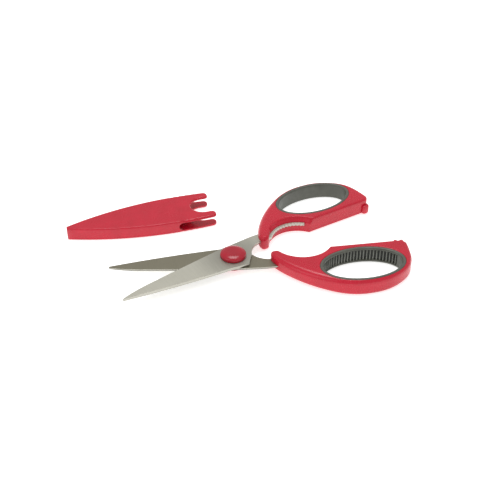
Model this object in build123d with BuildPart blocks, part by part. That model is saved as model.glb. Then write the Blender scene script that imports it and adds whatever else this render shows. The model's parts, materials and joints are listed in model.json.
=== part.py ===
from build123d import *
from math import cos, radians, sin, sqrt
import os

# Kitchen shears lying open, with their blade sheath pulled off and laid beside them.
# Millimetres and degrees. +Z is up, the origin is under the pivot on the surface they lie
# on, and +X is the line halfway between the two handles, towards them.
#
# The halves are one design, used twice, the second turned over. Each half is drawn in its
# own frame: x from the pivot towards its handle, y outwards from the line where the closed
# halves meet, and z away from the face that slides on the other half.

# Overall sizes
blade_reach = 88.3              # pivot to blade tip
handle_reach = 125.7            # pivot to the rear wall of a handle
handle_width = 45.8             # meeting line to the outermost wall of a handle
handle_thickness = 12.5
rest_opening = 26.2             # angle between the halves as they lie

# Blade
blade_thickness = 2.2
blade_gap = 0.06                # between the two sliding faces
edge_heel_width = 12.4          # meeting line to the cutting edge beside the pivot
edge_belly_width = 6.15         # the same, where the edge starts to curve to the tip
tip_curve_length = 27.3
tip_radius = 0.7
tip_slope = 0.35                # how steeply the edge runs into the tip
spine_heel_width = 11.7         # meeting line to the spine, beside the pivot
spine_mid_width = 7.2           # the same, halfway along the blade
spine_heel_offset = 9.0         # where that width is measured, ahead of the pivot
edge_heel_offset = 6.0          # where the straight cutting edge starts, ahead of the pivot
bevel_width = 1.1               # ground flat along the cutting edge, across the blade
bevel_depth = 1.7               # and through its thickness
ear_reach = 4.5                 # corner of the blade behind the pivot
ear_width = 14.2
neck_width = 4.0                # meeting line to the inner side of the tang
crescent_near_reach = 12.7      # hollow behind the corner: where it starts
crescent_near_width = 5.0
crescent_mid_reach = 16.8       # its deepest point
crescent_mid_width = 0.4
tang_cover = 1.0                # how far the hollow's end runs into the handle
tang_mid_x = 20.0               # outer side of the tang, just behind the pivot
tang_mid_width = 13.6
tang_inset = 0.8                # tang's outer side under the handle's wall

# Nutcracker jaw: a round hollow in each handle, with the tang's toothed edge in it
jaw_radius = 22.0
jaw_depth = 12.6                # meeting line to the deepest point of the hollow
jaw_centre_x = 51.3
cracker_exposure = 2.0          # how far the toothed strip stands out of the jaw wall
cracker_strip_width = 5.0
cracker_start_angle = 137.5     # on the jaw circle, from +x
cracker_end_angle = 43.0
cracker_back_angle = 122.0      # front corner of the strip's buried side
cracker_teeth = 13
cracker_tooth_depth = 0.9

# Handle
front_foot_x = 26.6             # foot of the handle's front edge
front_foot_width = 6.4
front_top_x = 30.6              # its top, where the outer side starts
front_top_width = 14.0
neck_outer_rise = 8.6           # outer side above the front's top, partway to the loop
neck_outer_x = 38.0
waist_outer_drop = 14.8         # outer side below its highest point, ahead of the loop
waist_outer_x = 47.6
hip_outer_drop = 8.0            # the same, nearer the loop
hip_outer_x = 58.1
crown_offset = 4.0              # highest point ahead of the loop's middle
rear_bulge_width = 6.1          # rear wall's turn, outwards of the loop's middle
rear_bulge_inset = 5.2
rear_flat_length = 8.0
nub_gap = 1.4                   # meeting line to the nub ahead of the jaw
nub_front_x = 27.6
flat_front_gap = 2.4            # meeting line to the inner wall behind the jaw
flat_rear_gap = 0.4             # the same at the rear end
handle_edge_fillet = 1.0
handle_corner_fillet = 2.1
rear_corner_length = 3.0

# Finger loop and its soft grip ring
loop_length = 62.0
loop_width = 37.6
loop_tilt = -5.0
rear_web = 5.9                  # red wall behind the loop
outer_rim = 2.4                 # red wall outside the loop
ring_wall = 2.4
ring_edge_fillet = 1.0
tongue_depth = 0.8              # the ring's outer bead, moulded into the handle's groove
tongue_height = 4.0

# Pivot
shoulder_radius = 3.0
shaft_clearance = 0.05
thread_radius = 2.5
screw_head_radius = 5.2
screw_head_height = 1.7
drive_slot_width = 1.2
drive_slot_depth = 0.8
slip_washer_thickness = 0.3
spring_washer_thickness = 0.5
nut_height = 1.7
cap_radius = 9.3
cap_side_height = 1.1
cap_flat_radius = 4.0
cap_round_angle = 45.0          # where the dome's curve is fixed between rim and flat
cap_running_gap = 0.12          # cap rim to blade face
cap_seat_clearance = 0.05

# Closing stops at the rear of the handles
stop_lug_length = 6.0
stop_lug_height = 7.0
stop_lug_reach = 2.0            # how far the lug passes the meeting line
stop_lug_drop = 0.6             # lug to the face it hangs nearest
stop_lug_root = 4.5             # how deep the lug is rooted behind the meeting line
stop_lug_fillet = 1.8
stop_rear_offset = 4.2          # rear wall to the middle of the lug
stop_clearance = 0.3            # pocket around the lug
stop_bump_radius = 1.5
stop_bump_height = 3.2
stop_bump_drop = 0.7
stop_bump_spacing = 4.3
stop_bump_rear_offset = 5.6     # rear wall to the middle of the two bumps
closed_touch_gap = 0.15         # bump to the facing wall, fully closed

# Sheath
sheath_length = 111.5
sheath_thickness = 10.0
sheath_wall = 1.9
sheath_end_width = 3.8
sheath_widest = 35.2
sheath_widest_offset = 86.0     # closed end to the widest point
sheath_edge_fillet = 1.2
sheath_side_slot_length = 30.0
sheath_notch_clearance = 0.3
sheath_prong_length = 16.5
sheath_end_x = -104.8           # where the closed end lies
sheath_end_y = 73.1
sheath_lean = -2.7
prong_tip_share = 0.45          # tip rounding, as a share of the prong's width

middle_z = handle_thickness / 2
half_gap = blade_gap / 2
jaw_centre_y = jaw_depth - jaw_radius
loop_x = handle_reach - rear_web - loop_length / 2
loop_y = handle_width - outer_rim - loop_width / 2
stop_x = handle_reach - stop_rear_offset
cap_height = middle_z - half_gap - blade_thickness - cap_running_gap
head_base = half_gap + blade_thickness + slip_washer_thickness
nut_base = half_gap + blade_thickness + spring_washer_thickness


def half_plane(turned_over, height=0.0):
    """The drawing plane of one half, at a height above its sliding mid-plane."""
    lean = -rest_opening / 2 if turned_over else rest_opening / 2
    along = (cos(radians(lean)), sin(radians(lean)), 0)
    normal = (0, 0, -1) if turned_over else (0, 0, 1)
    return Plane(origin=(0, 0, middle_z), x_dir=along, z_dir=normal).offset(height)


def on_circle(centre_x, centre_y, radius, angle):
    return (centre_x + radius * cos(radians(angle)), centre_y + radius * sin(radians(angle)))


def jaw_x_at(width, side):
    """Where the jaw circle meets a line parallel to the meeting line."""
    return jaw_centre_x + side * sqrt(jaw_radius**2 - (width - jaw_centre_y) ** 2)


def inner_wall_at(x):
    """The inner wall's distance from the meeting line, behind the jaw."""
    start = jaw_x_at(flat_front_gap, 1)
    share = (x - start) / (handle_reach - start)
    return flat_front_gap + (flat_rear_gap - flat_front_gap) * share


def cracker_edge_points():
    """Corners of the toothed edge: a root and a tip for each tooth, front to rear."""
    root_radius = jaw_radius - cracker_exposure + cracker_tooth_depth
    tip_radius_on_arc = jaw_radius - cracker_exposure
    pitch = (cracker_end_angle - cracker_start_angle) / cracker_teeth
    points = []
    for tooth in range(cracker_teeth):
        angle = cracker_start_angle + tooth * pitch
        points.append(on_circle(jaw_centre_x, jaw_centre_y, tip_radius_on_arc, angle))
        points.append(on_circle(jaw_centre_x, jaw_centre_y, root_radius, angle + pitch / 2))
    points.append(on_circle(jaw_centre_x, jaw_centre_y, tip_radius_on_arc, cracker_end_angle))
    return points


def make_blade(turned_over):
    """Blade, tang and toothed cracker strip, one steel blank."""
    belly_x = -(blade_reach - tip_curve_length)
    heel_x = -spine_heel_offset
    tip_top = (-blade_reach, tip_radius)
    tip_bottom = (-blade_reach, -tip_radius)
    spine_middle = ((heel_x - blade_reach) / 2, -spine_mid_width)
    edge_heel = (-edge_heel_offset, edge_heel_width)
    edge_belly = (belly_x, edge_belly_width)
    edge_run = (belly_x + edge_heel_offset, edge_belly_width - edge_heel_width)
    crescent_start = (crescent_near_reach, -crescent_near_width)
    crescent_middle = (crescent_mid_reach, crescent_mid_width)
    crescent_end = (front_foot_x + tang_cover, neck_width)
    tang_middle = (tang_mid_x, tang_mid_width)
    tang_under_wall = (front_top_x + tang_cover, front_top_width - tang_inset)
    strip_outer_radius = jaw_radius - cracker_exposure + cracker_strip_width
    strip_front = on_circle(jaw_centre_x, jaw_centre_y, strip_outer_radius, cracker_back_angle)
    strip_top = (jaw_centre_x, jaw_centre_y + strip_outer_radius)
    strip_rear = on_circle(jaw_centre_x, jaw_centre_y, strip_outer_radius, cracker_end_angle)
    teeth = cracker_edge_points()
    with BuildPart() as blade:
        with BuildSketch(half_plane(turned_over, half_gap)):
            with BuildLine():
                Line(edge_heel, edge_belly)
                Spline(edge_belly, tip_top, tangents=[edge_run, (-1, -tip_slope)])
                Line(tip_top, tip_bottom)
                ThreePointArc(tip_bottom, spine_middle, (heel_x, -spine_heel_width))
                Line((heel_x, -spine_heel_width), (ear_reach, -ear_width))
                Line((ear_reach, -ear_width), crescent_start)
                ThreePointArc(crescent_start, crescent_middle, crescent_end)
                Line(crescent_end, teeth[0])
                Polyline(*teeth)
                Line(teeth[-1], strip_rear)
                ThreePointArc(strip_rear, strip_top, strip_front)
                Spline(strip_front, tang_under_wall, tang_middle)
                Line(tang_middle, edge_heel)
            make_face()
            Circle(shoulder_radius + shaft_clearance, mode=Mode.SUBTRACT)
        extrude(amount=blade_thickness)
        # The ground flat: a wedge taken off the outer face along the whole cutting edge.
        cutting_face = half_plane(turned_over, half_gap + blade_thickness)
        outer_edges = [
            edge
            for edge in blade.edges()
            if abs(cutting_face.to_local_coords(edge.center()).Z) < 0.01
            and cutting_face.to_local_coords(edge.center()).X < -spine_heel_offset
            and cutting_face.to_local_coords(edge.center()).Y > tip_radius
        ]
        chamfer(outer_edges, length=bevel_depth, length2=bevel_width)
    return blade


def make_handle(turned_over):
    """Moulded handle around the tang, with the loop's hole and the jaw."""
    nub_jaw_x = jaw_x_at(nub_gap, -1)
    flat_start_x = jaw_x_at(flat_front_gap, 1)
    neck_outer_width = front_top_width + neck_outer_rise
    front_slope = (front_foot_x - neck_outer_x, front_foot_width - neck_outer_width)
    corner_x = handle_reach - rear_corner_length
    rear_y = flat_rear_gap + rear_corner_length
    rear_flat_y = rear_y + rear_flat_length
    with BuildPart() as handle:
        with BuildSketch(half_plane(turned_over, -middle_z)) as outline:
            with BuildLine():
                Spline(
                    (handle_reach, rear_flat_y),
                    (handle_reach - rear_bulge_inset, loop_y + rear_bulge_width),
                    (loop_x - crown_offset, handle_width),
                    (hip_outer_x, handle_width - hip_outer_drop),
                    (waist_outer_x, handle_width - waist_outer_drop),
                    (neck_outer_x, neck_outer_width),
                    (front_top_x, front_top_width),
                    tangents=[(0, 1), front_slope],
                )
                Polyline(
                    (front_top_x, front_top_width),
                    (front_foot_x, front_foot_width),
                    (nub_front_x, nub_gap),
                    (nub_jaw_x, nub_gap),
                )
                ThreePointArc(
                    (nub_jaw_x, nub_gap),
                    (jaw_centre_x, jaw_depth),
                    (flat_start_x, flat_front_gap),
                )
                Polyline(
                    (flat_start_x, flat_front_gap),
                    (corner_x, inner_wall_at(corner_x)),
                    (handle_reach, rear_y),
                    (handle_reach, rear_flat_y),
                )
            make_face()
            corner_limit = rear_flat_y - handle_corner_fillet
            corners = outline.vertices().filter_by(lambda v: v.Y < corner_limit)
            fillet(corners, handle_corner_fillet)
        extrude(amount=handle_thickness)
        flat_faces = handle.faces().filter_by(Axis.Z)
        fillet(flat_faces.edges(), handle_edge_fillet)
        loop_hole = loop_face(turned_over, handle_thickness, 0)
        extrude(loop_hole, amount=handle_thickness, mode=Mode.SUBTRACT)
        bead_groove = loop_face(turned_over, tongue_height, tongue_depth)
        extrude(bead_groove, amount=tongue_height, mode=Mode.SUBTRACT)
    return handle


def loop_face(turned_over, height, growth):
    """The finger loop's ellipse, at the foot of a disc centred on the handle's mid-plane."""
    with BuildSketch(half_plane(turned_over, -height / 2)) as face:
        with Locations((loop_x, loop_y)):
            Ellipse(loop_length / 2 + growth, loop_width / 2 + growth, rotation=loop_tilt)
    return face.sketch


def lug_face(turned_over, base, side, growth):
    """The closing lug's outline, on its own side of the meeting line or on the other."""
    depth = stop_lug_root + stop_lug_reach + 2 * growth
    middle_y = side * (stop_lug_root - stop_lug_reach) / 2
    with BuildSketch(half_plane(turned_over, base)) as face:
        with Locations((stop_x, middle_y)):
            RectangleRounded(stop_lug_length + 2 * growth, depth, stop_lug_fillet)
    return face.sketch


def make_grip_ring(turned_over):
    """Soft ring lining the finger loop, with a bead held in the handle's groove."""
    with BuildPart() as ring:
        extrude(loop_face(turned_over, handle_thickness, 0), amount=handle_thickness)
        extrude(loop_face(turned_over, tongue_height, tongue_depth), amount=tongue_height)
        hole = loop_face(turned_over, handle_thickness, -ring_wall)
        extrude(hole, amount=handle_thickness, mode=Mode.SUBTRACT)
        end_edges = ring.faces().filter_by(Axis.Z).sort_by(Axis.Z)
        hole_edges = [end_edges[i].edges().sort_by(Edge.length)[0] for i in (0, -1)]
        fillet(hole_edges, ring_edge_fillet)
    return ring


def finish(piece, name):
    """Name a finished piece and write its file."""
    piece.part.label = name
    export_step(piece.part, f"parts/{name}.step")
    return piece


os.makedirs("parts", exist_ok=True)

# The two steel halves
upper_blade = finish(make_blade(False), "upper_blade")
lower_blade = finish(make_blade(True), "lower_blade")

# Upper handle, with the lug that keeps the closed handles in line
lug_base = -middle_z + stop_lug_drop
with BuildPart() as upper_handle:
    add(make_handle(False).part)
    extrude(lug_face(False, lug_base, 1, 0), amount=stop_lug_height)
    add(upper_blade.part, mode=Mode.SUBTRACT)
finish(upper_handle, "upper_handle")

# Lower handle, with the pocket that takes the lug and the two bumps that stop the closing
with BuildPart() as lower_handle:
    add(make_handle(True).part)
    pocket_base = -lug_base - stop_lug_height - stop_clearance
    pocket = lug_face(True, pocket_base, -1, stop_clearance)
    extrude(pocket, amount=stop_lug_height + 2 * stop_clearance, mode=Mode.SUBTRACT)
    bump_base = -middle_z + stop_bump_drop
    bump_middle_x = handle_reach - stop_bump_rear_offset
    with BuildSketch(half_plane(True, bump_base)):
        for side in (-1, 1):
            bump_x = bump_middle_x + side * stop_bump_spacing / 2
            bump_y = closed_touch_gap + stop_bump_radius - inner_wall_at(bump_x)
            with Locations((bump_x, bump_y)):
                Circle(stop_bump_radius)
    extrude(amount=stop_bump_height)
    add(lower_blade.part, mode=Mode.SUBTRACT)
finish(lower_handle, "lower_handle")

finish(make_grip_ring(False), "upper_grip_ring")
finish(make_grip_ring(True), "lower_grip_ring")

# Pivot screw: head over the upper blade, shoulder through both, thread into the nut
head_top = middle_z + head_base + screw_head_height
shoulder_end = middle_z - half_gap - blade_thickness
nut_bottom = middle_z - nut_base - nut_height
with BuildPart() as pivot_screw:
    with BuildSketch(Plane.XY.offset(middle_z + head_base)):
        Circle(screw_head_radius)
    extrude(amount=screw_head_height)
    with BuildSketch(Plane.XY.offset(shoulder_end)):
        Circle(shoulder_radius)
    extrude(amount=middle_z + head_base - shoulder_end)
    with BuildSketch(Plane.XY.offset(nut_bottom)):
        Circle(thread_radius)
    extrude(amount=shoulder_end - nut_bottom)
    with BuildSketch(Plane.XY.offset(head_top)):
        Rectangle(2 * screw_head_radius, drive_slot_width)
    extrude(amount=-drive_slot_depth, mode=Mode.SUBTRACT)
finish(pivot_screw, "pivot_screw")

with BuildPart() as slip_washer:
    with BuildSketch(Plane.XY.offset(middle_z + half_gap + blade_thickness)):
        Circle(screw_head_radius)
        Circle(shoulder_radius, mode=Mode.SUBTRACT)
    extrude(amount=slip_washer_thickness)
finish(slip_washer, "slip_washer")

with BuildPart() as spring_washer:
    with BuildSketch(Plane.XY.offset(middle_z - nut_base)):
        Circle(screw_head_radius)
        Circle(thread_radius, mode=Mode.SUBTRACT)
    extrude(amount=spring_washer_thickness)
finish(spring_washer, "spring_washer")

with BuildPart() as pivot_nut:
    with BuildSketch(Plane.XY.offset(nut_bottom)):
        RegularPolygon(screw_head_radius, 6)
        Circle(thread_radius, mode=Mode.SUBTRACT)
    extrude(amount=nut_height)
finish(pivot_nut, "pivot_nut")


def make_cap(face_up, seat_height):
    """Low domed cap, pressed over the screw head or the nut."""
    direction = 1 if face_up else -1
    outer_z = middle_z + direction * middle_z
    rim_z = outer_z - direction * cap_height
    shoulder_z = rim_z + direction * cap_side_height
    dome_run = cap_radius - cap_flat_radius
    dome_rise = cap_height - cap_side_height
    lean = radians(cap_round_angle)
    dome_point = (
        cap_flat_radius + dome_run * cos(lean),
        shoulder_z + direction * dome_rise * sin(lean),
    )
    with BuildPart() as cap:
        with BuildSketch(Plane.XZ):
            with BuildLine():
                Polyline(
                    (cap_flat_radius, outer_z),
                    (0, outer_z),
                    (0, rim_z),
                    (cap_radius, rim_z),
                    (cap_radius, shoulder_z),
                )
                Spline(
                    (cap_radius, shoulder_z),
                    dome_point,
                    (cap_flat_radius, outer_z),
                    tangents=[(0, direction), (-1, 0)],
                )
            make_face()
        revolve(axis=Axis.Z)
        with BuildSketch(Plane.XY.offset(rim_z)):
            Circle(screw_head_radius + cap_seat_clearance)
        extrude(amount=direction * seat_height, mode=Mode.SUBTRACT)
    return cap


screw_seat_height = head_top - (handle_thickness - cap_height)
nut_seat_height = cap_height - nut_bottom
finish(make_cap(True, screw_seat_height), "top_pivot_cap")
finish(make_cap(False, nut_seat_height), "bottom_pivot_cap")


# Sheath: a flat tapered sleeve with a forked mouth that straddles the pivot caps
sheath_plane = Plane(
    origin=(sheath_end_x, sheath_end_y, 0),
    x_dir=(cos(radians(sheath_lean)), sin(radians(sheath_lean)), 0),
    z_dir=(0, 0, 1),
)
side_rise = (sheath_widest - sheath_end_width) / 2
side_radius = (sheath_widest_offset**2 + side_rise**2) / (2 * side_rise)


def sheath_half_width(x):
    """Half the sheath's width at a distance from its closed end: one arc on each side."""
    drop = side_radius - sqrt(side_radius**2 - (x - sheath_widest_offset) ** 2)
    return sheath_widest / 2 - drop


cavity_height = sheath_thickness - 2 * sheath_wall
notch_radius = cap_radius + sheath_notch_clearance
notch_x = sheath_length - sheath_prong_length + notch_radius
prong_width = sheath_half_width(sheath_length) - notch_radius


def sheath_face(height, inset, end_x, forked=False):
    """The tapered outline, drawn in by an inset, from the closed end to end_x."""
    start_width = sheath_half_width(inset) - inset
    middle_width = sheath_half_width(end_x / 2) - inset
    end_width = sheath_half_width(end_x) - inset
    with BuildSketch(sheath_plane.offset(height)) as face:
        with BuildLine():
            ThreePointArc((inset, start_width), (end_x / 2, middle_width), (end_x, end_width))
            Line((end_x, end_width), (end_x, -end_width))
            ThreePointArc((end_x, -end_width), (end_x / 2, -middle_width), (inset, -start_width))
            Line((inset, -start_width), (inset, start_width))
        make_face()
        if forked:
            with Locations((notch_x, 0)):
                Circle(notch_radius, mode=Mode.SUBTRACT)
            with Locations((notch_x + sheath_length / 2, 0)):
                Rectangle(sheath_length, 2 * notch_radius, mode=Mode.SUBTRACT)
            fillet(face.vertices().sort_by(Axis.X)[-4:], prong_tip_share * prong_width)
    return face.sketch


with BuildPart() as sheath:
    extrude(sheath_face(0, 0, sheath_length, forked=True), amount=sheath_thickness)
    fillet(sheath.faces().filter_by(Axis.Z).edges(), sheath_edge_fillet)
    cavity = sheath_face(sheath_wall, sheath_wall, sheath_length)
    extrude(cavity, amount=cavity_height, mode=Mode.SUBTRACT)
    slot_end_x = sheath_length - sheath_side_slot_length + cavity_height / 2
    with BuildSketch(sheath_plane.offset(sheath_wall)):
        with Locations((slot_end_x + sheath_length / 2, 0)):
            Rectangle(sheath_length, 2 * sheath_widest)
    extrude(amount=cavity_height, mode=Mode.SUBTRACT)
    side_plane = Plane(
        origin=sheath_plane.from_local_coords((slot_end_x, 0, sheath_thickness / 2)),
        x_dir=sheath_plane.x_dir,
        z_dir=sheath_plane.y_dir,
    )
    with BuildSketch(side_plane):
        Circle(cavity_height / 2)
    extrude(amount=sheath_widest, both=True, mode=Mode.SUBTRACT)
finish(sheath, "sheath")
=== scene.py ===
import json
import math

import bmesh
import bpy
import numpy as np
from mathutils import Matrix, Vector
from mathutils.geometry import delaunay_2d_cdt


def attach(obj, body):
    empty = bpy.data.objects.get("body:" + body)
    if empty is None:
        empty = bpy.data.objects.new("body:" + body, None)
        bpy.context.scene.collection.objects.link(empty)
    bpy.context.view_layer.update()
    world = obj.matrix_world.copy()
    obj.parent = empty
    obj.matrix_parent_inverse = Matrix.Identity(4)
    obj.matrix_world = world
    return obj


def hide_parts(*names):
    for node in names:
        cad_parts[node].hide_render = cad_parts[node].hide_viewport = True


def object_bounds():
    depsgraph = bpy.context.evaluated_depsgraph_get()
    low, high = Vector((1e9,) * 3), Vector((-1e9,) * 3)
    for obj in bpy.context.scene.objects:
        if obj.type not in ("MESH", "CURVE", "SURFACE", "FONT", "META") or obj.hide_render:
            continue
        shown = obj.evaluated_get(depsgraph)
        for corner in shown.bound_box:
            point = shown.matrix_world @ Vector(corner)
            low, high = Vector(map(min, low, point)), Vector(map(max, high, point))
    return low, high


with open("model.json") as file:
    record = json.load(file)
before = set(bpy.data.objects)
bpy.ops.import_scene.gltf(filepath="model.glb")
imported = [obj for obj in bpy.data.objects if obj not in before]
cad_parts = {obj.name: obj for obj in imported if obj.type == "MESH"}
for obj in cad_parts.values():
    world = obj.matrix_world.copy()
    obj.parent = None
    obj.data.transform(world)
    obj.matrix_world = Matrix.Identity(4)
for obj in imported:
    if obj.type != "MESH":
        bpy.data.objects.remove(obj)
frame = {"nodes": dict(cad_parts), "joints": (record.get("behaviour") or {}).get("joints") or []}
cadBox = [list(corner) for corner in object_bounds()]
mm = 0.001

bladePivot = next(j for j in frame["joints"] if j["name"] == "blade_pivot")
pivotPoint = Vector(bladePivot["pos_m"])
# at rest each half stands this far off the line on which the shears close
restLean = math.radians(-bladePivot["range_deg"][0] / 2)
mergeWithin = 0.002 * mm
print("frame loaded,", len(frame["nodes"]), "solids")


def addNode(tree, kind, values=None, links=None, **settings):
    node = tree.nodes.new(kind)
    for key, value in settings.items():
        setattr(node, key, value)
    for key, value in (values or {}).items():
        node.inputs[key].default_value = value
    for key, source in (links or {}).items():
        tree.links.new(source, node.inputs[key])
    return node


def linearColour(hexCode):
    # sRGB hex to the linear values that a shader takes
    channels = [int(hexCode[i:i + 2], 16) / 255 for i in (1, 3, 5)]
    return [c / 12.92 if c <= 0.04045 else ((c + 0.055) / 1.055) ** 2.4 for c in channels] + [1.0]


def addObject(name, data):
    thing = bpy.data.objects.new(name, data)
    bpy.context.scene.collection.objects.link(thing)
    return thing


def appliedMesh(thing):
    # the object's shape with its modifiers applied; the object itself goes
    result = bpy.data.meshes.new_from_object(thing.evaluated_get(bpy.context.evaluated_depsgraph_get()))
    bpy.data.objects.remove(thing)
    return result


def halfMatrix(turnedOver):
    # half frame: x from the pivot to the handle, y outwards, z away from the sliding face
    lean = -restLean if turnedOver else restLean
    xAxis = Vector((math.cos(lean), math.sin(lean), 0))
    zAxis = Vector((0, 0, -1 if turnedOver else 1))
    yAxis = zAxis.cross(xAxis)
    turn = Matrix((xAxis, yAxis, zAxis)).transposed().to_4x4()
    return Matrix.Translation(pivotPoint) @ turn


def smoothStep(low, high, value):
    share = np.clip((value - low) / (high - low), 0, 1)
    return share * share * (3 - 2 * share)


def bandFaces(start, rowCount, count, outwards, closed=False):
    # faces between rows of count points each, numbered from start
    faces = []
    for k in range(rowCount if closed else rowCount - 1):
        near = start + k * count
        far = start + (k + 1) % rowCount * count
        for i in range(count):
            j = (i + 1) % count
            if outwards:
                faces.append([near + i, far + i, far + j, near + j])
            else:
                faces.append([near + i, near + j, far + j, far + i])
    return faces


def closeRings(shape, rings):
    # sides between rings of points, and a face on each end
    for lower, upper in zip(rings, rings[1:]):
        for i in range(len(lower)):
            j = (i + 1) % len(lower)
            shape.faces.new((lower[i], lower[j], upper[j], upper[i]))
    shape.faces.new(rings[0][::-1])
    shape.faces.new(rings[-1])


def keepPiece(name, mesh, materials, body, smoothAngle, node=None, flatEnds=False):
    mesh.materials.clear()
    for material in materials:
        mesh.materials.append(material)
    mesh.shade_smooth()
    mesh.set_sharp_from_angle(angle=math.radians(smoothAngle))
    if flatEnds:  # level faces keep their own normal beside a rounded edge
        levelFrom = 0.99999
        for face in mesh.polygons:
            face.use_smooth = abs(face.normal.z) < levelFrom
    piece = addObject(name, mesh)
    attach(piece, body)
    if node:
        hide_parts(node)


# materials: grain and scratches are drawn several times coarser than real, so that they show

# polypropylene from a lightly spark-eroded mould: bright red, its gloss softened by the grain
redLook = {
    "hex": "#C30A2C", "deepHex": "#B90827", "tintSpan": (0.3, 0.7), "cloudMm": 9.0,
    "roughness": 0.27, "glossSpread": 0.04, "grainMm": 0.5, "depthMm": 0.012, "bump": 0.08,
}
# the same plastic from a polished mould: deeper and glossier
capLook = dict(redLook, hex="#AC0926", deepHex="#A00822", roughness=0.24)
# thermoplastic elastomer: a warm grey with a dull, soft sheen
gripLook = {
    "hex": "#5A5B52", "deepHex": "#505148", "tintSpan": (0.3, 0.7), "cloudMm": 6.0,
    "roughness": 0.38, "glossSpread": 0.04, "grainMm": 0.35, "depthMm": 0.03, "bump": 0.3,
}
# the floor of the grooves: the same elastomer painted dark for the shade that falls in them, and dull
grooveShadeLook = dict(gripLook, hex="#272823", deepHex="#20211D", roughness=0.65)
# rib tops: the same elastomer painted paler, as painted light on them
litRibLook = dict(gripLook, hex="#7E8079", deepHex="#72746C", roughness=0.42)
# surface-ground stainless steel: pale, with scratches across it, and painted shade that darkens it round the
# pivot
outerSteelLook = {
    "hex": "#BEBCB0", "deepHex": "#B5B3A7", "tintSpan": (0.32, 0.68), "cloudMm": 14.0,
    "cloudShare": 0.3, "roughness": 0.5, "glossSpread": 0.06,
    "scratchMm": 1.2, "scratchStretch": 0.08, "depthMm": 0.01, "bump": 0.1,
    "hubMm": (9, 36), "paintedHubShade": 0.66,
}
# the hollow-ground face that slides on the other blade, painted darker and browner than the outer one as
# painted shade
innerSteelLook = dict(outerSteelLook, hex="#878373", deepHex="#817D6D", paintedHubShade=0.95)
# the honed bevel: smoother, with a finer scratch, and painted darker as painted shade along the edge
edgeSteelLook = dict(
    outerSteelLook, hex="#85827A", deepHex="#777469", roughness=0.26, scratchMm=0.8, paintedHubShade=1.0,
)
# the blank's stamped side: bright where the punch sheared it
sideSteelLook = dict(
    outerSteelLook, hex="#B4B2A9", deepHex="#A6A49B", roughness=0.3, scratchMm=0.8, paintedHubShade=0.9,
)
# lathe-turned screw, nut and washers: neutral and fairly glossy
turnedSteelLook = dict(
    outerSteelLook, hex="#B5B5B0", deepHex="#A0A09B", roughness=0.3, scratchMm=0.8, paintedHubShade=1.0,
)
plasticIor = 1.49


def newMaterial(name):
    material = bpy.data.materials.new(name)
    material.use_nodes = True
    tree = material.node_tree
    tree.nodes.clear()
    shader = addNode(tree, "ShaderNodeBsdfPrincipled")
    addNode(tree, "ShaderNodeOutputMaterial", links={"Surface": shader.outputs["BSDF"]})
    place = addNode(tree, "ShaderNodeTexCoord").outputs["Object"]
    return material, tree, shader, place


def roughen(tree, shader, pattern, look):
    # gloss and relief follow the same grain or scratches
    middle, spread = look["roughness"], look["glossSpread"]
    rough = addNode(
        tree, "ShaderNodeMapRange", {"To Min": middle - spread, "To Max": middle + spread}, {"Value": pattern},
    )
    tree.links.new(rough.outputs["Result"], shader.inputs["Roughness"])
    bump = addNode(
        tree, "ShaderNodeBump",
        {"Strength": look["bump"], "Distance": look["depthMm"] * mm}, {"Height": pattern},
    )
    tree.links.new(bump.outputs["Normal"], shader.inputs["Normal"])


def mouldedPlastic(name, look):
    # an even colour with faint clouds, under the mould's grain
    material, tree, shader, place = newMaterial(name)
    cloud = addNode(
        tree, "ShaderNodeTexNoise", {"Scale": 1 / (look["cloudMm"] * mm), "Detail": 2.0}, {"Vector": place},
    )
    tint = addNode(tree, "ShaderNodeValToRGB", links={"Fac": cloud.outputs["Fac"]})
    for stop, share, colour in zip(tint.color_ramp.elements, look["tintSpan"], ("deepHex", "hex")):
        stop.position = share
        stop.color = linearColour(look[colour])
    tree.links.new(tint.outputs["Color"], shader.inputs["Base Color"])
    grain = addNode(
        tree, "ShaderNodeTexNoise", {"Scale": 1 / (look["grainMm"] * mm), "Detail": 3.0}, {"Vector": place},
    )
    roughen(tree, shader, grain.outputs["Fac"], look)
    shader.inputs["IOR"].default_value = plasticIor
    return material


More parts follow.
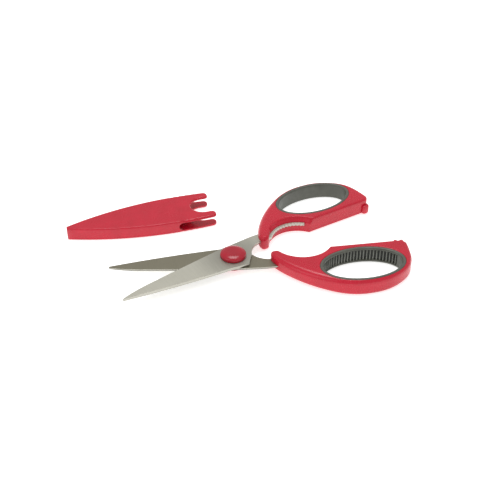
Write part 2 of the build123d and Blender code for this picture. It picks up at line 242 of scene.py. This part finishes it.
def groundSteel(name, look, lean):
    # parallel scratches across the blade, faint clouds, and a painted shade that grows towards the pivot
    material, tree, shader, place = newMaterial(name)
    turned = addNode(tree, "ShaderNodeMapping", {"Rotation": (0, 0, -lean)}, {"Vector": place})
    stretched = addNode(
        tree, "ShaderNodeMapping",
        {"Scale": (1, look["scratchStretch"], 1)}, {"Vector": turned.outputs["Vector"]},
    )
    scratch = addNode(
        tree, "ShaderNodeTexNoise", {"Scale": 1 / (look["scratchMm"] * mm), "Detail": 4.0, "Roughness": 0.7},
        {"Vector": stretched.outputs["Vector"]},
    )
    cloud = addNode(
        tree, "ShaderNodeTexNoise", {"Scale": 1 / (look["cloudMm"] * mm), "Detail": 2.0}, {"Vector": place},
    )
    shade = addNode(
        tree, "ShaderNodeMix", {"Factor": look["cloudShare"]},
        {"A": scratch.outputs["Fac"], "B": cloud.outputs["Fac"]}, data_type="FLOAT",
    )
    tint = addNode(tree, "ShaderNodeValToRGB", links={"Fac": shade.outputs["Result"]})
    for stop, share, colour in zip(tint.color_ramp.elements, look["tintSpan"], ("deepHex", "hex")):
        stop.position = share
        stop.color = linearColour(look[colour])
    # painted shade: the colour is multiplied darker the nearer it lies to the pivot
    reach = addNode(tree, "ShaderNodeVectorMath", links={0: place}, operation="LENGTH")
    hubFrom, hubTo = look["hubMm"]
    hub = addNode(
        tree, "ShaderNodeMapRange",
        {"From Min": hubFrom * mm, "From Max": hubTo * mm, "To Min": look["paintedHubShade"], "To Max": 1.0},
        {"Value": reach.outputs["Value"]}, interpolation_type="SMOOTHSTEP",
    )
    paintedPivotShade = addNode(
        tree, "ShaderNodeMix", {"Factor": 1.0}, {"A": tint.outputs["Color"], "B": hub.outputs["Result"]},
        data_type="RGBA", blend_type="MULTIPLY",
    )
    tree.links.new(paintedPivotShade.outputs["Result"], shader.inputs["Base Color"])
    roughen(tree, shader, scratch.outputs["Fac"], look)
    shader.inputs["Metallic"].default_value = 1.0
    return material


redPlastic = mouldedPlastic("moulded red polypropylene", redLook)
capPlastic = mouldedPlastic("polished red polypropylene", capLook)
softGrip = mouldedPlastic("soft grey elastomer", gripLook)
paintedGrooveShade = mouldedPlastic("dull grey elastomer in the grooves", grooveShadeLook)
paintedLitRibs = mouldedPlastic("worn grey elastomer on the ribs", litRibLook)
steelFinishes = (
    ("satin ground stainless steel", outerSteelLook),
    ("hollow ground stainless steel", innerSteelLook),
    ("honed steel bevel", edgeSteelLook),
    ("blanked steel side", sideSteelLook),
)
bladeSteels = {
    over: [groundSteel(name, look, -restLean if over else restLean) for name, look in steelFinishes]
    for over in (False, True)
}
turnedSteel = groundSteel("turned stainless steel", turnedSteelLook, 0.0)
print("materials made")


# handles: a moulding drawn in its half frame, in millimetres
handle = {
    "halfThickness": 6.25,
    "noseHalfThickness": 5.8,      # it thins a little towards the blades
    "noseStart": 62.0,
    "noseEnd": 28.0,
    "jawCentre": (51.3, -9.4),
    "jawRadius": 22.0,
    "jawEdge": (0.8, 1.2, 1.2),    # easing, fillet across, fillet down
    "jawFlare": 1.6,               # the jaw's wall leans back above the toothed strip
    "jawTuck": -0.3,               # and comes forward a little below it
    "flareFrom": (35.0, 42.0),     # the lean grows between these, and ends at flareTo
    "flareTo": 71.5,
    "flareNear": 1.2,              # within this of the arc it is the jaw's wall
    "flareBlur": 2.0,
    "stripTop": 2.4,
    "loopCentre": (88.8, 24.6),
    "loopHalf": (31.0, 18.8),
    "loopTilt": -5.0,
    "holeFillet": 0.5,
    "easeLevels": (0.4, 1.0, 1.8, 3.0),
    "easeBlur": 1.5,
    "filletBlur": 3.0,
    "smoothAngle": 42,
    "outlineCount": 560,
    "jawCount": 60,
    "holeCount": 300,
    "wallRows": 13,
    "holeRows": (0, 0.33, 0.67, 1),
    "rimRings": (0.08, 0.25, 0.5, 0.85, 1.3, 1.8, 2.4, 3.1, 3.9, 4.6),
    "holeRings": (0.12, 0.35, 0.7),
    "latticeStep": 1.5,
    "latticeFrom": (4.9, 1.2),     # off the rim, off the hole
}
# outer side, rear to front: x, y, how far corners are eased, fillet across and down
outerPoints = [
    (125.7, 11.5, 1.6, 2.4, 2.4),
    (124.7, 21.6, 2.5, 2.8, 3.0),
    (120.5, 30.7, 3.0, 2.8, 3.4),
    (105.0, 42.2, 3.0, 2.6, 3.6),
    (84.8, 45.8, 3.0, 2.6, 3.6),
    (70.6, 43.6, 3.0, 3.4, 3.8),
    (58.1, 37.8, 3.0, 4.6, 3.9),
    (47.6, 31.0, 3.0, 5.0, 4.0),
    (38.0, 22.6, 3.0, 4.8, 3.9),
    (30.6, 14.0, 2.0, 3.8, 3.4),
]
# front edge, nub, and after the jaw's arc the flat inner wall and the rear corner
nubPoints = [
    (26.2, 6.4, 2.0, 2.8, 3.2),
    (26.4, 1.0, 2.0, 2.8, 3.2),
    (32.4, 1.0, 2.0, 2.4, 2.8),
]
innerPoints = [
    (70.0, 2.4, 0.5, 1.2, 1.2),
    (96.0, 1.4, 1.0, 1.6, 1.6),
    (122.7, 0.45, 1.4, 1.7, 1.7),
    (125.7, 3.45, 1.4, 1.9, 1.9),
]


def between(start, end, at, first, second):
    return (end - at) / (end - start) * first + (at - start) / (end - start) * second


def throughPoints(rows, perSpan=24):
    # centripetal Catmull-Rom through the rows; every column is carried along
    rows = np.array(rows, float)
    rows = np.vstack([2 * rows[0] - rows[1], rows, 2 * rows[-1] - rows[-2]])
    result = []
    for i in range(1, len(rows) - 2):
        p = rows[i - 1:i + 3]
        chords = np.linalg.norm(np.diff(p[:, :2], axis=0), axis=1)
        knots = np.concatenate([[0], np.cumsum(np.sqrt(chords))])
        for t in np.linspace(knots[1], knots[2], perSpan, endpoint=False):
            a = [between(knots[j], knots[j + 1], t, p[j], p[j + 1]) for j in range(3)]
            b = [between(knots[j], knots[j + 2], t, a[j], a[j + 1]) for j in range(2)]
            result.append(between(knots[1], knots[2], t, b[0], b[1]))
    result.append(rows[-2])
    return np.array(result)


def evenLoop(rows, count):
    # the closed loop in even steps, and the step
    closed = np.vstack([rows, rows[:1]])
    lengths = np.concatenate([[0], np.cumsum(np.linalg.norm(np.diff(closed[:, :2], axis=0), axis=1))])
    at = np.linspace(0, lengths[-1], count, endpoint=False)
    even = [np.interp(at, lengths, closed[:, k]) for k in range(closed.shape[1])]
    return np.stack(even, 1), lengths[-1] / count


def blurLoop(values, sigmaSteps):
    # Gaussian blur round a closed loop
    count = len(values)
    steps = np.minimum(np.arange(count), count - np.arange(count))
    weight = np.exp(-0.5 * (steps / sigmaSteps) ** 2)
    spectrum = np.fft.fft(weight / weight.sum())
    return np.real(np.fft.ifft(np.fft.fft(values, axis=0) * spectrum[:, None], axis=0))


def handleOutline():
    # rows of x, y, fillet across, fillet down; counterclockwise, even steps, corners eased
    centre, radius = handle["jawCentre"], handle["jawRadius"]
    front = math.atan2(nubPoints[-1][1] - centre[1], nubPoints[-1][0] - centre[0])
    back = math.atan2(innerPoints[0][1] - centre[1], innerPoints[0][0] - centre[0])
    jaw = [
        (centre[0] + radius * math.cos(a), centre[1] + radius * math.sin(a), *handle["jawEdge"])
        for a in np.linspace(front, back, handle["jawCount"])[1:-1]
    ]
    rows = np.vstack([throughPoints(outerPoints), nubPoints, jaw, innerPoints])
    finer = 4
    fine, step = evenLoop(rows, finer * handle["outlineCount"])
    fine[:, 3:] = blurLoop(fine[:, 3:], handle["filletBlur"] / step)
    ease = blurLoop(fine[:, 2:3], handle["easeBlur"] / step)[:, 0]
    levels = handle["easeLevels"]
    eased = np.stack([blurLoop(fine[:, :2], level / step) for level in levels])
    for k in range(2):
        fine[:, k] = [np.interp(ease[i], levels, eased[:, i, k]) for i in range(len(fine))]
    even, _ = evenLoop(fine, handle["outlineCount"])
    return even[:, [0, 1, 3, 4]]


def loopCurve(count, growth=0.0):
    # the finger loop's ellipse, moved outwards by growth along its normals
    angle = np.linspace(0, 2 * math.pi, count, endpoint=False)
    a, b = handle["loopHalf"]
    point = np.stack([a * np.cos(angle), b * np.sin(angle)], 1)
    normal = np.stack([b * np.cos(angle), a * np.sin(angle)], 1)
    point += growth * normal / np.linalg.norm(normal, axis=1)[:, None]
    tilt = math.radians(handle["loopTilt"])
    turn = np.array([[math.cos(tilt), -math.sin(tilt)], [math.sin(tilt), math.cos(tilt)]])
    return point @ turn.T + handle["loopCentre"]


def flared(outline, flare):
    # the jaw's stretch of the outline, set back by flare away from its centre
    away = outline[:, :2] - handle["jawCentre"]
    reach = np.linalg.norm(away, axis=1)
    onArc = np.abs(reach - handle["jawRadius"]) < handle["flareNear"]
    inJaw = smoothStep(*handle["flareFrom"], outline[:, 0]) * onArc * (outline[:, 0] < handle["flareTo"])
    inJaw = blurLoop(inJaw[:, None], handle["flareBlur"])
    moved = outline.copy()
    moved[:, :2] += flare * inJaw * away / reach[:, None]
    return moved


def distanceTo(points, loop):
    # distance to a closed loop, and the loop's nearest parameter
    run = np.roll(loop, -1, axis=0) - loop
    squares = (run ** 2).sum(1)
    best, where = np.empty(len(points)), np.empty(len(points))
    chunk = 400
    for i in range(0, len(points), chunk):
        offset = points[i:i + chunk, None, :] - loop[None]
        share = np.clip((offset * run[None]).sum(2) / squares[None], 0, 1)
        gap = np.linalg.norm(offset - share[..., None] * run[None], axis=2)
        k = gap.argmin(1)
        rows = np.arange(len(k))
        best[i:i + chunk] = gap[rows, k]
        where[i:i + chunk] = k + share[rows, k]
    return best, where


def easedDrop(distance, across, down):
    share = np.clip(1 - distance / across, 0, 1)
    return down * (1 - np.sqrt(np.clip(1 - share ** 2, 0, 1)))


def faceHeight(points, outline, hole):
    gap, where = distanceTo(points, outline[:, :2])
    count = len(outline)
    wrap = np.vstack([outline, outline[:1]])
    across = np.interp(where, np.arange(count + 1), wrap[:, 2])
    down = np.interp(where, np.arange(count + 1), wrap[:, 3])
    holeGap, where = distanceTo(points, hole)
    onRim = 0.01  # nearer than this is the rim itself, where faces and walls share their points
    gap[gap < onRim] = 0
    holeGap[holeGap < onRim] = 0
    nose = 1 - smoothStep(handle["noseEnd"], handle["noseStart"], points[:, 0])
    full = handle["halfThickness"] + (handle["noseHalfThickness"] - handle["halfThickness"]) * nose
    fillet = handle["holeFillet"]
    return full - easedDrop(gap, across, down) - easedDrop(holeGap, fillet, fillet)


def insidePolygon(points, polygon):
    inside = np.zeros(len(points), bool)
    x, y = points[:, 0], points[:, 1]
    for (ax, ay), (bx, by) in zip(polygon, np.roll(polygon, -1, axis=0)):
        if ay != by:
            inside ^= ((ay > y) != (by > y)) & (x < (bx - ax) * (y - ay) / (by - ay) + ax)
    return inside


def offsetRing(loop, outline, hole, distance, side):
    # points beside a loop, without those that fall too near another stretch or each other
    ownSlack, otherGap, pointGap = 0.02, 0.25, 0.22
    run = np.roll(loop, -1, axis=0) - np.roll(loop, 1, axis=0)
    run /= np.linalg.norm(run, axis=1)[:, None]
    ring = loop + side * distance * np.stack([-run[:, 1], run[:, 0]], 1)
    own = distanceTo(ring, loop)[0] > distance - ownSlack
    other = distanceTo(ring, hole if side > 0 else outline)[0] > otherGap
    within = insidePolygon(ring, outline) & ~insidePolygon(ring, hole)
    kept = []
    for point in ring[own & other & within]:
        if not kept or np.linalg.norm(point - kept[-1]) > pointGap:
            kept.append(point)
    return kept


def faceSheet(outline, hole):
    # triangles over the handle's face, close together where its edges are rounded
    rim = outline[:, :2]
    low, high = rim.min(0), rim.max(0)
    step = handle["latticeStep"]
    rowShare = 0.866  # rows of an even triangle lattice
    lattice = np.array([
        (x + (row % 2) * step / 2, y)
        for row, y in enumerate(np.arange(low[1], high[1], step * rowShare))
        for x in np.arange(low[0], high[0], step)
    ])
    lattice = lattice[insidePolygon(lattice, rim) & ~insidePolygon(lattice, hole)]
    offRim, offHole = handle["latticeFrom"]
    far = (distanceTo(lattice, rim)[0] > offRim) & (distanceTo(lattice, hole)[0] > offHole)
    points = [*rim, *hole]
    for distance in handle["rimRings"]:
        points += offsetRing(rim, rim, hole, distance, 1)
    for distance in handle["holeRings"]:
        points += offsetRing(hole, rim, hole, distance, -1)
    points += [*lattice[far]]
    loops = [(0, len(rim)), (len(rim), len(hole))]
    edges = [(start + i, start + (i + 1) % count) for start, count in loops for i in range(count)]
    allTriangles, joinWithin = 0, 1e-6
    verts, _, faces, _, _, _ = delaunay_2d_cdt(
        [Vector(p) for p in points], edges, [], allTriangles, joinWithin,
    )
    flat = np.array([tuple(v) for v in verts])
    middles = np.array([flat[list(f)].mean(0) for f in faces])
    keep = insidePolygon(middles, rim) & ~insidePolygon(middles, hole)
    return flat, [tuple(f) for f, k in zip(faces, keep) if k]


def handleMesh(name):
    base = handleOutline()
    hole = loopCurve(handle["holeCount"])
    top, bottom = flared(base, handle["jawFlare"]), flared(base, handle["jawTuck"])
    verts, faces = [], []
    for outline, side in ((top, 1), (bottom, -1)):
        flat, sheet = faceSheet(outline, hole)
        start = len(verts)
        height = faceHeight(flat, outline, hole)
        verts += [(x, y, side * z) for (x, y), z in zip(flat, height)]
        for f in sheet:
            a, b, c = (flat[i] for i in f)
            leftTurn = (b[0] - a[0]) * (c[1] - a[1]) - (b[1] - a[1]) * (c[0] - a[0]) > 0
            face = [start + i for i in f]
            faces.append(face if leftTurn == (side > 0) else face[::-1])
    # outer wall, leaning back above the toothed strip
    topEdge = faceHeight(top[:, :2], top, hole)
    bottomEdge = -faceHeight(bottom[:, :2], bottom, hole)
    start = len(verts)
    for share in np.linspace(0, 1, handle["wallRows"]):
        z = topEdge + (bottomEdge - topEdge) * share
        back = np.clip((z - handle["stripTop"]) / (topEdge - handle["stripTop"]), 0, 1)
        flare = handle["jawTuck"] + (handle["jawFlare"] - handle["jawTuck"]) * back
        row = base[:, :2] + (top[:, :2] - base[:, :2]) / handle["jawFlare"] * flare[:, None]
        if share == 0:
            row = top[:, :2]
        if share == 1:
            row = bottom[:, :2]
        verts += [(x, y, h) for (x, y), h in zip(row, z)]
    faces += bandFaces(start, handle["wallRows"], len(base), True)
    # wall of the finger loop
    holeTop = faceHeight(hole, top, hole)
    holeBottom = -faceHeight(hole, bottom, hole)
    start = len(verts)
    for share in handle["holeRows"]:
        verts += [(x, y, t + (b - t) * share) for (x, y), t, b in zip(hole, holeTop, holeBottom)]
    faces += bandFaces(start, len(handle["holeRows"]), len(hole), False)
    mesh = bpy.data.meshes.new(name)
    mesh.from_pydata([(x * mm, y * mm, z * mm) for x, y, z in verts], [], faces)
    shape = bmesh.new()
    shape.from_mesh(mesh)
    bmesh.ops.remove_doubles(shape, verts=shape.verts, dist=mergeWithin)
    openEdges = [e for e in shape.edges if len(e.link_faces) != 2]
    print(name, len(shape.verts), "points,", len(openEdges), "open edges")
    shape.to_mesh(mesh)
    shape.free()
    return mesh


# rear stops: a lug on the upper handle, its pocket and two bumps on the lower one
stops = {
    "lugX": 121.5, "lugLength": 6.0, "lugRoot": 4.5, "lugReach": 2.0, "lugRound": 2.4,
    "lugBase": -5.65, "lugHeight": 7.0, "lugEdge": 1.1, "clearance": 0.3,
    "bumpAt": ((117.95, 0.97), (122.25, 1.13)), "bumpRadius": 1.5, "bumpBase": -5.55,
    "bumpHeight": 3.2, "bumpEdge": 0.4,
    "arcSteps": 8, "mergeWithin": 0.0005,
    "edgeSteps": ((0, 1), (0.3, 0.3), (1, 0)),  # in from the end, inset, as shares of the edge
}


def roundedBlock(name, low, high, cornerRadius, edge):
    # an upright block with rounded corners and eased ends
    shape = bmesh.new()
    left, right = low[0] + cornerRadius, high[0] - cornerRadius
    near, far = low[1] + cornerRadius, high[1] - cornerRadius
    corners = ((right, far, 0), (left, far, 90), (left, near, 180), (right, near, 270))
    levels = [(low[2] + up * edge, inset * edge) for up, inset in stops["edgeSteps"]]
    levels += [(high[2] - down * edge, inset * edge) for down, inset in stops["edgeSteps"][::-1]]
    rings = []
    for z, inset in levels:
        radius = cornerRadius - inset
        ring = []
        for cx, cy, first in corners:
            for step in range(stops["arcSteps"] + 1):
                angle = math.radians(first + step * 90 / stops["arcSteps"])
                point = Vector((cx + radius * math.cos(angle), cy + radius * math.sin(angle), z))
                ring.append(shape.verts.new(point * mm))
        rings.append(ring)
    closeRings(shape, rings)
    bmesh.ops.remove_doubles(shape, verts=shape.verts, dist=stops["mergeWithin"] * mm)
    bmesh.ops.recalc_face_normals(shape, faces=shape.faces)
    mesh = bpy.data.meshes.new(name)
    shape.to_mesh(mesh)
    shape.free()
    return addObject(name, mesh)


def combined(mesh, changes):
    # the mesh with blocks added to it or cut from it
    whole = addObject(mesh.name, mesh)
    for block, operation in changes:
        change = whole.modifiers.new("change", "BOOLEAN")
        change.operation = operation
        change.solver = "EXACT"
        change.object = block
    result = appliedMesh(whole)
    for block, _ in changes:
        bpy.data.objects.remove(block)
    return result


def lugBlock(name, turnedOver, growth):
    s = stops
    inner, outer = -s["lugReach"] - growth, s["lugRoot"] + growth
    if turnedOver:
        inner, outer = -outer, -inner
    base = -s["lugBase"] - s["lugHeight"] if turnedOver else s["lugBase"]
    low = (s["lugX"] - s["lugLength"] / 2 - growth, inner, base - growth)
    high = (s["lugX"] + s["lugLength"] / 2 + growth, outer, base + s["lugHeight"] + growth)
    return roundedBlock(name, low, high, s["lugRound"], s["lugEdge"])


def bumpBlocks():
    r = stops["bumpRadius"]
    base, top = stops["bumpBase"], stops["bumpBase"] + stops["bumpHeight"]
    cornerGap = 0.01  # keeps the corners' points apart
    return [
        roundedBlock("bump", (x - r, y - r, base), (x + r, y + r, top), r - cornerGap, stops["bumpEdge"])
        for x, y in stops["bumpAt"]
    ]


def makeHandle(name, turnedOver, body):
    mesh = handleMesh(name)
    if turnedOver:
        changes = [(lugBlock("pocket", True, stops["clearance"]), "DIFFERENCE")]
        changes += [(block, "UNION") for block in bumpBlocks()]
    else:
        changes = [(lugBlock("lug", False, 0.0), "UNION")]
    mesh = combined(mesh, changes)
    mesh.transform(halfMatrix(turnedOver))
    mesh.name = name
    keepPiece(name + "_moulding", mesh, [redPlastic], body, handle["smoothAngle"], name)


makeHandle("upper_handle", False, "upper_half")
makeHandle("lower_handle", True, "lower_half")
print("handles made")


# grip rings: a soft sleeve round each finger loop, grooved and ribbed where the fingers press
gripRing = {
    "wall": 2.4, "round": 1.15, "roundSteps": 7, "halfHeight": 6.25, "count": 260,
    "lip": ((0.0, 0.55), (0.1, 0.25), (0.32, 0.07), (0.65, 0.01)),  # in from the handle, down
    "wallRows": (4.5, 4.0, 2.0, 0.0),
    "recess": 1.3, "recessHalfHeight": 4.2, "recessFade": 6,
    "ribPitch": 2.4, "ribWidth": 1.1, "ribDepth": 1.35, "ribHalfHeight": 4.45, "ribSides": 12,
    "ribEnds": ((0, 0.35), (0.25, 0.75), (0.8, 1)),  # in from the end, share of the section
    "ribFirst": 198, "ribLast": 335,  # degrees round the loop
    "smoothAngle": 60,
}


def ringProfile():
    # distance inwards from the loop's wall, height
    top, wall, corner = gripRing["halfHeight"], gripRing["wall"], gripRing["round"]
    rows = [(inwards, top - down) for inwards, down in gripRing["lip"]] + [(wall - corner, top)]
    steps = gripRing["roundSteps"]
    for step in range(1, steps + 1):
        angle = math.radians(90 - step * 90 / steps)
        rows.append((wall - corner + corner * math.cos(angle), top - corner + corner * math.sin(angle)))
    rows += [(wall, z) for z in gripRing["wallRows"]]
    return rows + [(u, -z) for u, z in rows[:-1][::-1]]


def makeRing(name, turnedOver, body):
    profile = ringProfile()
    count = gripRing["count"]
    first, last, fade = gripRing["ribFirst"], gripRing["ribLast"], gripRing["recessFade"]
    degrees = np.linspace(0, 360, count, endpoint=False)
    ribbed = smoothStep(first - fade, first, degrees) * (1 - smoothStep(last, last + fade, degrees))
    low = [abs(z) < gripRing["recessHalfHeight"] for u, z in profile]
    verts = []
    for (u, z), recessed in zip(profile, low):
        depth = gripRing["recess"] * ribbed * recessed
        wall, inner = loopCurve(count, -u), loopCurve(count, 1.0 - u)
        verts += [(x * mm, y * mm, z * mm) for x, y in wall + (inner - wall) * depth[:, None]]
    mesh = bpy.data.meshes.new(name)
    mesh.from_pydata(verts, [], bandFaces(0, len(profile), count, False, closed=True))
    shape = bmesh.new()
    shape.from_mesh(mesh)
    bmesh.ops.recalc_face_normals(shape, faces=shape.faces)
    shape.to_mesh(mesh)
    shape.free()
    mesh.transform(halfMatrix(turnedOver))
    keepPiece(
        name + "_sleeve", mesh, [softGrip, paintedGrooveShade], body, gripRing["smoothAngle"], name,
    )
    grooved = [here and after for here, after in zip(low, low[1:] + low[:1])]
    for index, face in enumerate(mesh.polygons):
        # painted shade: faces inside the ribbed recess take the dark groove material
        face.material_index = int(grooved[index // count] and ribbed[index % count] > 0.5)


def ribPattern():
    # one rib: a bar of oval section with eased ends, standing along z
    shape = bmesh.new()
    top = gripRing["ribHalfHeight"]
    levels = [(-top + up, share) for up, share in gripRing["ribEnds"]]
    levels += [(top - down, share) for down, share in gripRing["ribEnds"][::-1]]
    rings = []
    for z, share in levels:
        across, deep = share * gripRing["ribWidth"] / 2, share * gripRing["ribDepth"]
        rings.append([
            shape.verts.new(Vector((across * math.cos(a), deep * math.sin(a), z)) * mm)
            for a in np.linspace(0, 2 * math.pi, gripRing["ribSides"], endpoint=False)
        ])
    closeRings(shape, rings)
    mesh = bpy.data.meshes.new("rib")
    shape.to_mesh(mesh)
    shape.free()
    return addObject("rib", mesh)


def ribTree():
    # a bar on every pitch along a wall line, turned with it
    tree = bpy.data.node_groups.new("grip ribs", "GeometryNodeTree")
    inputs = {
        "Wall line": "NodeSocketGeometry", "Rib": "NodeSocketObject",
        "Pitch": "NodeSocketFloat", "Material": "NodeSocketMaterial",
    }
    for label, kind in inputs.items():
        tree.interface.new_socket(label, in_out="INPUT", socket_type=kind)
    tree.interface.new_socket("Ribs", in_out="OUTPUT", socket_type="NodeSocketGeometry")
    given = addNode(tree, "NodeGroupInput").outputs
    line = addNode(tree, "GeometryNodeMeshToCurve", links={"Mesh": given["Wall line"]})
    spaced = addNode(
        tree, "GeometryNodeResampleCurve",
        links={"Curve": line.outputs["Curve"], "Length": given["Pitch"]}, mode="LENGTH",
    )
    tangent = addNode(tree, "GeometryNodeInputTangent")
    turn = addNode(
        tree, "FunctionNodeAlignRotationToVector",
        links={"Vector": tangent.outputs["Tangent"]}, axis="X", pivot_axis="Z",
    )
    rib = addNode(tree, "GeometryNodeObjectInfo", links={"Object": given["Rib"]}).outputs["Geometry"]
    placed = addNode(
        tree, "GeometryNodeInstanceOnPoints",
        links={"Points": spaced.outputs["Curve"], "Instance": rib, "Rotation": turn.outputs["Rotation"]},
    )
    real = addNode(tree, "GeometryNodeRealizeInstances", links={"Geometry": placed.outputs["Instances"]})
    painted = addNode(
        tree, "GeometryNodeSetMaterial",
        links={"Geometry": real.outputs["Geometry"], "Material": given["Material"]},
    )
    addNode(tree, "NodeGroupOutput", links={"Ribs": painted.outputs["Geometry"]})
    return tree


def makeRibs(name, turnedOver, body, tree, pattern):
    perDegree = 2
    line = loopCurve(360 * perDegree, gripRing["recess"] - gripRing["wall"])
    path = line[gripRing["ribFirst"] * perDegree:gripRing["ribLast"] * perDegree + 1]
    mesh = bpy.data.meshes.new("wall line")
    edges = [(i, i + 1) for i in range(len(path) - 1)]
    mesh.from_pydata([(x * mm, y * mm, 0) for x, y in path], edges, [])
    wall = addObject("wall line", mesh)
    repeat = wall.modifiers.new("ribs", "NODES")
    repeat.node_group = tree
    sockets = {item.name: item.identifier for item in tree.interface.items_tree if item.in_out == "INPUT"}
    repeat[sockets["Rib"]] = pattern
    repeat[sockets["Pitch"]] = gripRing["ribPitch"] * mm
    # painted light: the ribs take the paler elastomer
    repeat[sockets["Material"]] = paintedLitRibs
    result = appliedMesh(wall)
    result.transform(halfMatrix(turnedOver))
    result.name = name
    keepPiece(name, result, [paintedLitRibs], body, gripRing["smoothAngle"])


makeRing("upper_grip_ring", False, "upper_half")
makeRing("lower_grip_ring", True, "lower_half")
ribs, barPattern = ribTree(), ribPattern()
makeRibs("upper_grip_ribs", False, "upper_half", ribs, barPattern)
makeRibs("lower_grip_ribs", True, "lower_half", ribs, barPattern)
bpy.data.objects.remove(barPattern)
print("grip rings made")


# steel, caps and sheath: the solids' own shapes, blades and caps with their sharp edges eased
blade = {"easeMm": 0.1, "easeAngle": 25, "smoothAngle": 30, "faceFrom": 0.99, "bevelFrom": 0.4}
cap = {"easeMm": 0.12, "easeAngle": 50, "smoothAngle": 40}
sheath = {"smoothAngle": 35}


def mergedCopy(node, name, mergeAngle=None):
    # the solid's mesh with its doubles merged and, up to mergeAngle, its flat triangles too
    shape = bmesh.new()
    shape.from_mesh(frame["nodes"][node].data)
    bmesh.ops.remove_doubles(shape, verts=shape.verts, dist=mergeWithin)
    if mergeAngle:
        bmesh.ops.dissolve_limit(
            shape, angle_limit=math.radians(mergeAngle), verts=shape.verts, edges=shape.edges,
        )
    mesh = bpy.data.meshes.new(name)
    shape.to_mesh(mesh)
    shape.free()
    return mesh


def easedCopy(node, name, sizes):
    blank = addObject(name, mergedCopy(node, name, mergeAngle=0.6))
    ease = blank.modifiers.new("ease", "BEVEL")
    ease.width = sizes["easeMm"] * mm
    ease.segments = 2
    ease.limit_method = "ANGLE"
    ease.angle_limit = math.radians(sizes["easeAngle"])
    result = appliedMesh(blank)
    result.name = name
    return result


def makeBlade(name, turnedOver, body):
    mesh = easedCopy(name, name + "_blank", blade)
    keepPiece(
        name + "_ground", mesh, bladeSteels[turnedOver], body,
        blade["smoothAngle"], name, flatEnds=True,
    )
    away = -1 if turnedOver else 1
    for face in mesh.polygons:  # outer face, sliding face, bevel, side
        facing = face.normal.z * away
        if abs(facing) > blade["faceFrom"]:
            face.material_index = 0 if facing > 0 else 1
        else:
            face.material_index = 2 if abs(facing) > blade["bevelFrom"] else 3


makeBlade("upper_blade", False, "upper_half")
makeBlade("lower_blade", True, "lower_half")
for node in ("top_pivot_cap", "bottom_pivot_cap"):
    keepPiece(
        node + "_dome", easedCopy(node, node, cap), [capPlastic], "lower_half",
        cap["smoothAngle"], node, flatEnds=True,
    )
keepPiece(
    "sheath_sleeve", mergedCopy("sheath", "sheath"), [redPlastic], "sheath_body",
    sheath["smoothAngle"], "sheath", flatEnds=True,
)
for node in ("pivot_screw", "slip_washer", "spring_washer", "pivot_nut"):
    for materialSlot in frame["nodes"][node].material_slots:
        materialSlot.link = "OBJECT"
        materialSlot.material = turnedSteel
print("steel, caps and sheath made")


# studio, in metres
studio = {
    "floorHex": "#F4F4F2",
    "floorHalf": 40,
    "floorGap": 0.0002,
    "floorGlow": 0.62,  # a sweep lit from below, so that it stays white
    "fibreMm": 4,
    "paperRoughness": (0.86, 0.94),
    "paperGloss": 0.1,
    "worldStrength": 0.68,
    "softboxAim": (0.02, 0.02, 0),
    "softboxes": {  # place, size, power
        "overhead softbox": ((0.1, 0.25, 1.1), (0.55, 0.4), 4.5),
        "left softbox": ((-0.9, -0.3, 0.7), (0.7, 0.7), 1.6),
    },
    "cameraAt": (-0.18047, -0.50670, 0.40702),
    "cameraTo": (0.01519, 0.02732, 0.0),
    "lens": 70.41,
    "sensor": 36,
}


def aimed(at, to):
    return (Vector(to) - Vector(at)).to_track_quat("-Z", "Y").to_euler()


# matt white paper: pale and almost without gloss, its fibres just roughen it
floorMaterial, tree, shader, place = newMaterial("matt white sweep paper")
fibre = addNode(
    tree, "ShaderNodeTexNoise", {"Scale": 1 / (studio["fibreMm"] * mm), "Detail": 2.0}, {"Vector": place},
)
smoothest, roughest = studio["paperRoughness"]
paper = addNode(
    tree, "ShaderNodeMapRange", {"To Min": smoothest, "To Max": roughest}, {"Value": fibre.outputs["Fac"]},
)
tree.links.new(paper.outputs["Result"], shader.inputs["Roughness"])
shader.inputs["Base Color"].default_value = linearColour(studio["floorHex"])
shader.inputs["Specular IOR Level"].default_value = studio["paperGloss"]
shader.inputs["Emission Color"].default_value = (1, 1, 1, 1)
shader.inputs["Emission Strength"].default_value = studio["floorGlow"]
floorMesh = bpy.data.meshes.new("floor")
half, level = studio["floorHalf"], cadBox[0][2] - studio["floorGap"]
floorCorners = [(-half, -half, level), (half, -half, level), (half, half, level), (-half, half, level)]
floorMesh.from_pydata(floorCorners, [], [(0, 1, 2, 3)])
floorMesh.materials.append(floorMaterial)
floor = addObject("floor", floorMesh)

for name, (at, size, power) in studio["softboxes"].items():
    lamp = bpy.data.lights.new(name, "AREA")
    lamp.shape = "RECTANGLE"
    lamp.size, lamp.size_y = size
    lamp.energy = power
    softbox = addObject(name, lamp)
    softbox.location = at
    softbox.rotation_euler = aimed(at, studio["softboxAim"])

world = bpy.data.worlds.new("white studio")
bpy.context.scene.world = world
world.use_nodes = True
world.node_tree.nodes.clear()
sky = addNode(
    world.node_tree, "ShaderNodeBackground", {"Color": (1, 1, 1, 1), "Strength": studio["worldStrength"]},
)
addNode(world.node_tree, "ShaderNodeOutputWorld", links={"Surface": sky.outputs["Background"]})

cameraData = bpy.data.cameras.new("camera")
cameraData.lens = studio["lens"]
cameraData.sensor_width = studio["sensor"]
camera = addObject("camera", cameraData)
camera.location = studio["cameraAt"]
camera.rotation_euler = aimed(studio["cameraAt"], studio["cameraTo"])
bpy.context.scene.camera = camera
bpy.context.scene.view_settings.view_transform = "Standard"
print("studio set")
